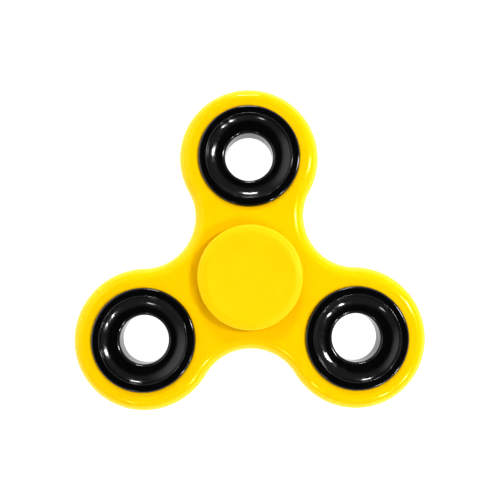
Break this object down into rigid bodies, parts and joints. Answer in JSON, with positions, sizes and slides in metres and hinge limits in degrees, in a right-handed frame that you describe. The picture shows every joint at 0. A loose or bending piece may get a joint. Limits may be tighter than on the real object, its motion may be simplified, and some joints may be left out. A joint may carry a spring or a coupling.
{
  "type": "fidget spinner",
  "caption": "Moulded frame with round lobes that spins on a ball bearing between two finger caps, with a covered steel weight in each lobe.",
  "frame": {"origin": "centre of the bearing, on the spin axis and midway between the two flat faces of the frame", "axes": "+Z along the spin axis out of the front finger cap; +Y towards the top lobe; +X to the right as seen from the front, so the left lobe is at 210 degrees and the right one at 330"},
  "size_m": [0.0764, 0.0704, 0.013],
  "materials": {
    "frame_plastic": "gloss",
    "cap_plastic": "fine matt",
    "cover_plastic": "gloss",
    "weight_steel": "turned, oiled",
    "race_steel": "ground",
    "ball_steel": "polished",
    "cage_steel": "pressed sheet",
    "clip_steel": "drawn spring wire"
  },
  "bodies": {
    "hub": {"finger_cap_front": "cap_plastic", "finger_cap_back": "cap_plastic", "bearing_inner_race": "race_steel"},
    "frame": {"frame_body": "frame_plastic", "bearing_outer_race": "race_steel", "bearing_shield_front": "cage_steel", "bearing_shield_back": "cage_steel", "bearing_clip_front": "clip_steel", "bearing_clip_back": "clip_steel", "weight_ring_top": "weight_steel", "weight_ring_left": "weight_steel", "weight_ring_right": "weight_steel", "weight_cover_front_top": "cover_plastic", "weight_cover_back_top": "cover_plastic", "weight_cover_front_left": "cover_plastic", "weight_cover_back_left": "cover_plastic", "weight_cover_front_right": "cover_plastic", "weight_cover_back_right": "cover_plastic"},
    "cage": {"bearing_cage_front": "cage_steel", "bearing_cage_back": "cage_steel", "bearing_cage_rivets": "cage_steel"},
    "ball_1": {"bearing_ball_1": "ball_steel"},
    "ball_2": {"bearing_ball_2": "ball_steel"},
    "ball_3": {"bearing_ball_3": "ball_steel"},
    "ball_4": {"bearing_ball_4": "ball_steel"},
    "ball_5": {"bearing_ball_5": "ball_steel"},
    "ball_6": {"bearing_ball_6": "ball_steel"},
    "ball_7": {"bearing_ball_7": "ball_steel"}
  },
  "joints": [
    {"name": "frame_spin", "type": "hinge", "parent": "hub", "child": "frame", "pos_m": [0, 0, 0], "axis": [0, 0, 1], "continuous": true},
    {"name": "cage_orbit", "type": "hinge", "parent": "hub", "child": "cage", "pos_m": [0, 0, 0], "axis": [0, 0, 1], "continuous": true},
    {"name": "ball_1_spin", "type": "hinge", "parent": "cage", "child": "ball_1", "pos_m": [0, 0.0075, 0], "axis": [0, 0, 1], "continuous": true},
    {"name": "ball_2_spin", "type": "hinge", "parent": "cage", "child": "ball_2", "pos_m": [-0.00586, 0.00468, 0], "axis": [0, 0, 1], "continuous": true},
    {"name": "ball_3_spin", "type": "hinge", "parent": "cage", "child": "ball_3", "pos_m": [-0.00731, -0.00167, 0], "axis": [0, 0, 1], "continuous": true},
    {"name": "ball_4_spin", "type": "hinge", "parent": "cage", "child": "ball_4", "pos_m": [-0.00325, -0.00676, 0], "axis": [0, 0, 1], "continuous": true},
    {"name": "ball_5_spin", "type": "hinge", "parent": "cage", "child": "ball_5", "pos_m": [0.00325, -0.00676, 0], "axis": [0, 0, 1], "continuous": true},
    {"name": "ball_6_spin", "type": "hinge", "parent": "cage", "child": "ball_6", "pos_m": [0.00731, -0.00167, 0], "axis": [0, 0, 1], "continuous": true},
    {"name": "ball_7_spin", "type": "hinge", "parent": "cage", "child": "ball_7", "pos_m": [0.00586, 0.00468, 0], "axis": [0, 0, 1], "continuous": true}
  ],
  "couplings": [
    {"joint": "cage_orbit", "follows": "frame_spin", "ratio": 0.6323},
    {"joint": "ball_1_spin", "follows": "frame_spin", "ratio": 1.7573},
    {"joint": "ball_2_spin", "follows": "frame_spin", "ratio": 1.7573},
    {"joint": "ball_3_spin", "follows": "frame_spin", "ratio": 1.7573},
    {"joint": "ball_4_spin", "follows": "frame_spin", "ratio": 1.7573},
    {"joint": "ball_5_spin", "follows": "frame_spin", "ratio": 1.7573},
    {"joint": "ball_6_spin", "follows": "frame_spin", "ratio": 1.7573},
    {"joint": "ball_7_spin", "follows": "frame_spin", "ratio": 1.7573}
  ]
}
